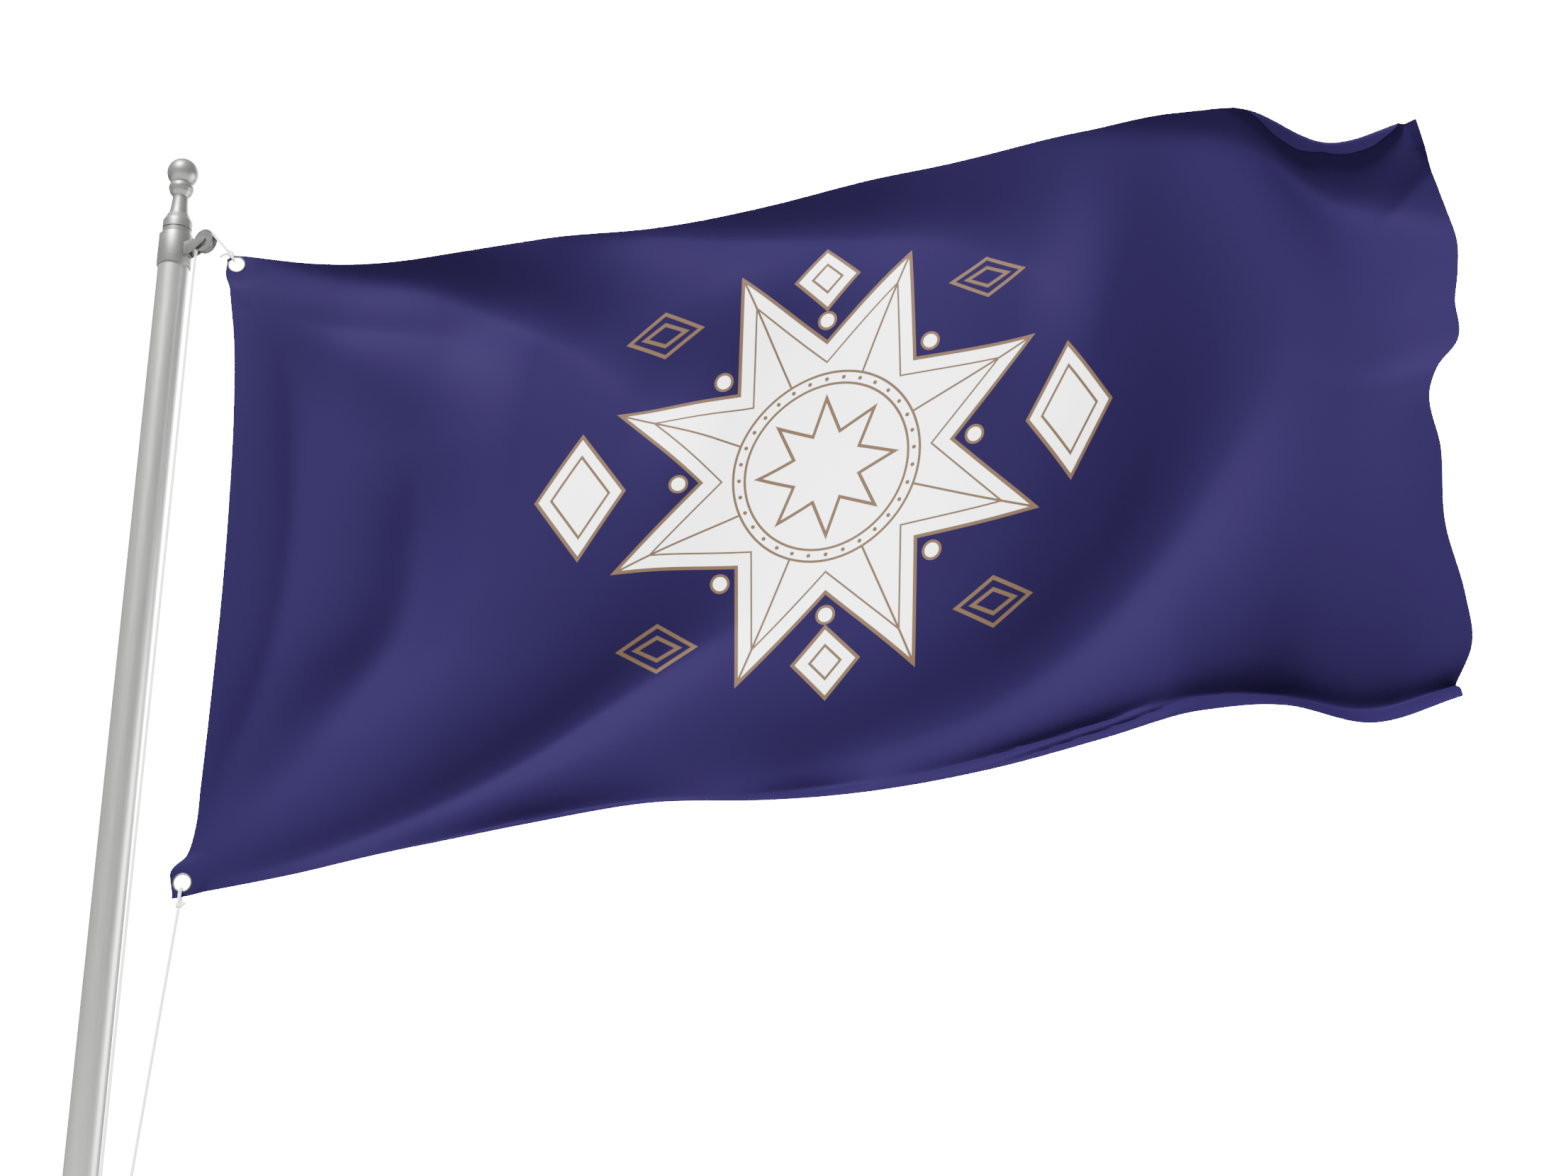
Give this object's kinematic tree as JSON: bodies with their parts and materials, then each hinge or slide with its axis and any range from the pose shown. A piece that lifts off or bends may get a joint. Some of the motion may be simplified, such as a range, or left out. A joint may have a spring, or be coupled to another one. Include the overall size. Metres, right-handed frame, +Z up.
{
  "type": "district flag flying from the head of a flagpole",
  "caption": "Flag waving from a pole's pulley on a halyard, tied at corner eyelets; the pulley wheel turns on its axle.",
  "frame": {"origin": "centre of the pole's flat lower end", "axes": "+Z up the pole, +X from the pole towards the flag's free end, -Y towards the side that is shown"},
  "size_m": [2.0338, 0.1229, 2.0376],
  "materials": {
    "cloth": "satin woven polyester, dyed",
    "satin_metal": "satin anodised",
    "grey_metal": "satin grey",
    "ring_metal": "satin",
    "rope": "white braid"
  },
  "bodies": {
    "flagpole": {"flag": "cloth", "eyelet_upper": "ring_metal", "eyelet_lower": "ring_metal", "tie_upper": "rope", "tie_lower": "rope", "halyard": "rope", "pole": "satin_metal", "truck_sleeve": "satin_metal", "truck_collar": "satin_metal", "finial": "satin_metal", "pulley_bracket": "grey_metal", "axle_pin": "grey_metal", "cleat": "satin_metal"},
    "sheave": {"sheave": "grey_metal"}
  },
  "joints": [
    {"name": "sheave_spin", "type": "hinge", "parent": "flagpole", "child": "sheave", "pos_m": [0.05438, -0.02536, 1.7646], "axis": [0.4226, 0.9063, 0], "continuous": true}
  ]
}
